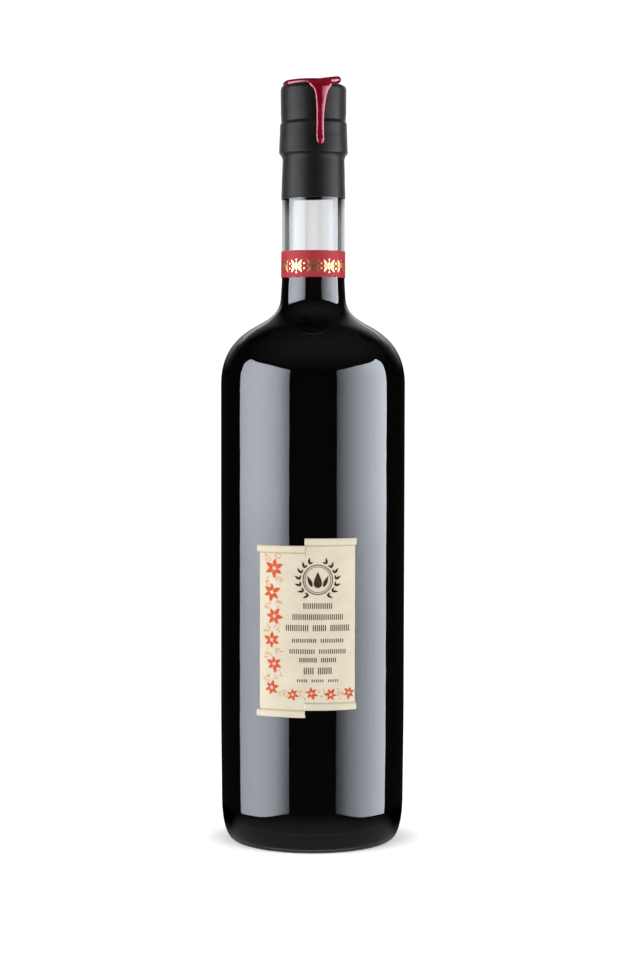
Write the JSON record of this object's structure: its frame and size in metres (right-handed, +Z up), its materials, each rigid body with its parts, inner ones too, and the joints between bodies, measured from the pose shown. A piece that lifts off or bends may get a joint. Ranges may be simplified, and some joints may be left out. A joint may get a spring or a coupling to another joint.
{
  "type": "vinegar bottle",
  "caption": "Clear round-shouldered glass bottle full of dark vinegar, with a black shrink capsule, dripping wax seal, paper neck band and scroll-shaped front label.",
  "frame": {"origin": "centre of the foot, at the height of the surface that the bottle stands on", "axes": "+Z up along the bottle's axis, the front label faces -Y, +X to the right of the label"},
  "size_m": [0.0826, 0.0833, 0.3417],
  "materials": {
    "clear_glass": "polished clear glass with a faint green-grey tint",
    "dark_vinegar": "almost black brown liquid",
    "stopper_black": "matt moulded stopper",
    "capsule_black": "satin black shrink film with slight waves and creases",
    "red_wax": "glossy dark red sealing wax",
    "band_paper": "red coated paper with a gold foil ornament",
    "label_paper": "cream parchment-like paper with rolled edges and a printed leaf border"
  },
  "bodies": {
    "root": {"glass_bottle": "clear_glass", "vinegar": "dark_vinegar", "stopper": "stopper_black", "capsule": "capsule_black", "wax_seal": "red_wax", "neck_band": "band_paper", "front_label": "label_paper"}
  },
  "joints": []
}
